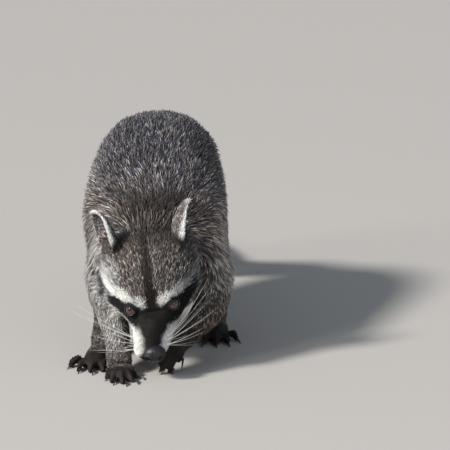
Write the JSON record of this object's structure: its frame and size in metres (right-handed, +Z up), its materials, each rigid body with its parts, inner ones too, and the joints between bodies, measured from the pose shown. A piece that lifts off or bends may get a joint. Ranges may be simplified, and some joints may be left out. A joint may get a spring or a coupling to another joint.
{
  "type": "raccoon",
  "caption": "Life-size model of a raccoon standing with its back arched and its head lowered, one forepaw reaching inward, ringed tail laid on the ground.",
  "frame": {"origin": "on the floor, under the middle of the animal's length and width", "axes": "+Z up, -Y towards the head, +Y along the back to the tail, +X to the animal's left side"},
  "size_m": [0.2098, 0.6524, 0.2648],
  "materials": {
    "grizzled_coat": "deep fur, grizzled dark brown and buff",
    "mask_coat": "short fur with a black mask and white brows",
    "sooty_coat": "short dark brown fur",
    "ringed_coat": "bushy fur ringed dark and buff",
    "ear_coat": "thin short fur with white edges",
    "nose_skin": "bare, finely grained and damp",
    "eye_surface": "wet and glossy"
  },
  "bodies": {
    "root": {"ear_left": "ear_coat", "ear_right": "ear_coat", "eye_left": "eye_surface", "eye_right": "eye_surface", "foreleg_left": "sooty_coat", "foreleg_right": "sooty_coat", "forepaw_left": "sooty_coat", "forepaw_right": "sooty_coat", "head": "mask_coat", "hindleg_left": "sooty_coat", "hindleg_right": "sooty_coat", "hindpaw_left": "sooty_coat", "hindpaw_right": "sooty_coat", "neck": "grizzled_coat", "nose": "nose_skin", "tail_middle": "ringed_coat", "tail_root": "ringed_coat", "tail_tip": "ringed_coat", "trunk": "grizzled_coat"}
  },
  "joints": []
}
